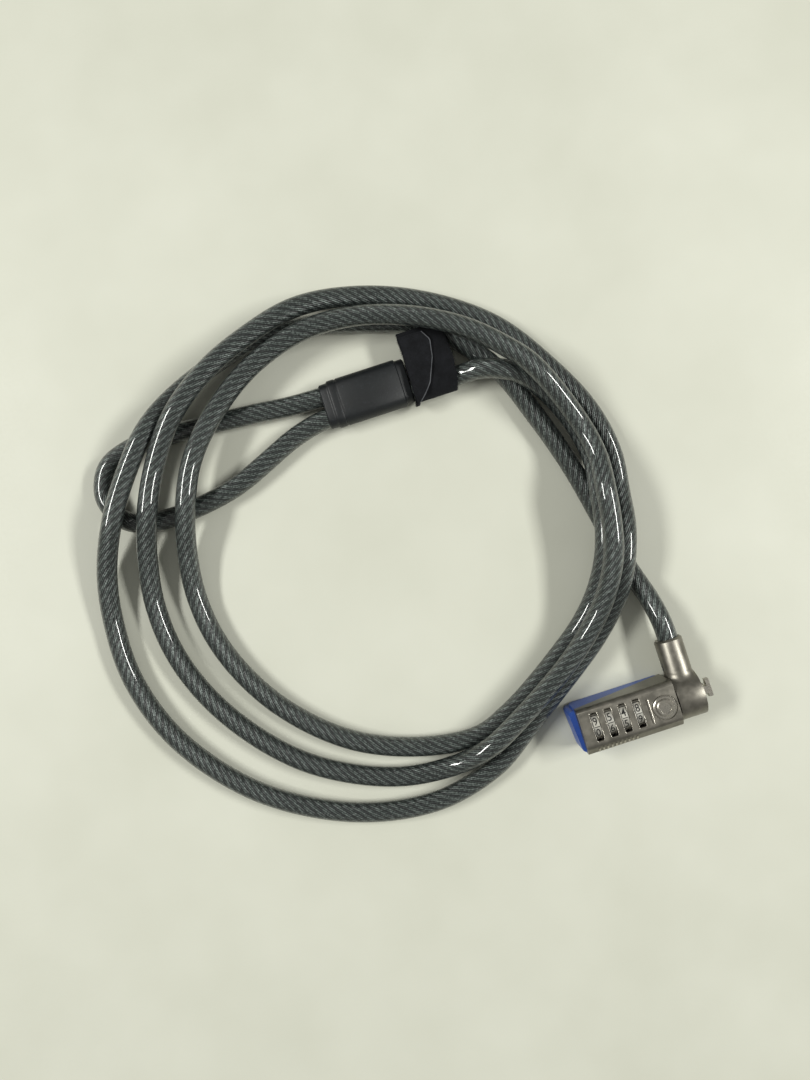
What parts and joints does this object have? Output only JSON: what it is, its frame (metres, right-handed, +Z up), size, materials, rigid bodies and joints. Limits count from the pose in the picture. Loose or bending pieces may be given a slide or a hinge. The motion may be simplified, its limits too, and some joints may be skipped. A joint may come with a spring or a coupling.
{
  "type": "laptop cable lock",
  "caption": "Combination laptop lock with digit dials, a push button and a turning T-bar, swivelling on the head of a coiled steel cable that ends in a sleeved eye.",
  "frame": {"origin": "on the base cover's resting face, under the middle of the metal shell's length and width", "axes": "+X along the lock from its closed end to the T-bar, +Y towards the cable barrel, +Z up out of the dial face"},
  "size_m": [0.1953, 0.1854, 0.0217],
  "materials": {
    "satin_nickel": "satin",
    "blue_plastic": "satin",
    "dial_metal": "satin",
    "bright_steel": "polished",
    "dark_steel": "satin",
    "tumbler_brass": "satin",
    "frame_zinc": "matte",
    "cable_jacket": "gloss",
    "ferrule_aluminium": "satin",
    "black_plastic": "satin",
    "black_webbing": "matte"
  },
  "bodies": {
    "cable_side": {"swivel_head": "satin_nickel", "cable_crimp": "dark_steel", "barrel_pin": "dark_steel", "cable": "cable_jacket", "loop_ferrule": "ferrule_aluminium", "loop_sleeve": "black_plastic", "sleeve_collar_inner": "black_plastic", "sleeve_collar_outer": "black_plastic", "strap": "black_webbing"},
    "lock_body": {"base_cover": "blue_plastic", "face_shell": "satin_nickel", "inner_frame": "frame_zinc", "nose_bush": "bright_steel", "bush_circlip": "dark_steel", "dial_axle": "dark_steel", "detent_spring": "bright_steel", "case_screws": "dark_steel", "button_bezel": "bright_steel", "grip_ribs": "bright_steel", "button_spring": "bright_steel"},
    "dial_1": {"dial_wheel_1": "dial_metal", "tumbler_1": "tumbler_brass"},
    "dial_2": {"dial_wheel_2": "dial_metal", "tumbler_2": "tumbler_brass"},
    "dial_3": {"dial_wheel_3": "dial_metal", "tumbler_3": "tumbler_brass"},
    "dial_4": {"dial_wheel_4": "dial_metal", "tumbler_4": "tumbler_brass"},
    "button": {"push_button": "bright_steel", "button_stem": "dark_steel"},
    "tbar": {"tbar_spindle": "bright_steel", "crank_pin": "dark_steel"},
    "fence": {"fence_bar": "dark_steel"},
    "code_screw": {"code_change_screw": "dark_steel"}
  },
  "joints": [
    {"name": "body_swivel", "type": "hinge", "parent": "cable_side", "child": "lock_body", "pos_m": [0, 0, 0.0082], "axis": [1, 0, 0], "continuous": true},
    {"name": "dial_1_turn", "type": "hinge", "parent": "lock_body", "child": "dial_1", "pos_m": [0, 0.0008, 0.0103], "axis": [1, 0, 0], "continuous": true},
    {"name": "dial_2_turn", "type": "hinge", "parent": "lock_body", "child": "dial_2", "pos_m": [0, 0.0008, 0.0103], "axis": [1, 0, 0], "continuous": true},
    {"name": "dial_3_turn", "type": "hinge", "parent": "lock_body", "child": "dial_3", "pos_m": [0, 0.0008, 0.0103], "axis": [1, 0, 0], "continuous": true},
    {"name": "dial_4_turn", "type": "hinge", "parent": "lock_body", "child": "dial_4", "pos_m": [0, 0.0008, 0.0103], "axis": [1, 0, 0], "continuous": true},
    {"name": "button_press", "type": "slide", "parent": "lock_body", "child": "button", "axis": [0, 0, -1], "range_m": [0, 0.0025], "stiffness_N_per_m": 800, "springref_m": -0.002, "deforming": ["button_spring"]},
    {"name": "tbar_turn", "type": "hinge", "parent": "lock_body", "child": "tbar", "pos_m": [0, 0, 0.0082], "axis": [-1, 0, 0], "range_deg": [0, 90]},
    {"name": "fence_lift", "type": "slide", "parent": "lock_body", "child": "fence", "axis": [0, 0, 1], "range_m": [0, 0.001]},
    {"name": "code_screw_turn", "type": "hinge", "parent": "lock_body", "child": "code_screw", "pos_m": [0.0024, -0.0034, 0.0002], "axis": [0, 0, 1], "range_deg": [0, 90]}
  ],
  "couplings": [
    {"joint": "tbar_turn", "follows": "button_press", "rad_per_m": 628.32},
    {"joint": "fence_lift", "follows": "button_press", "ratio": 0.4}
  ]
}
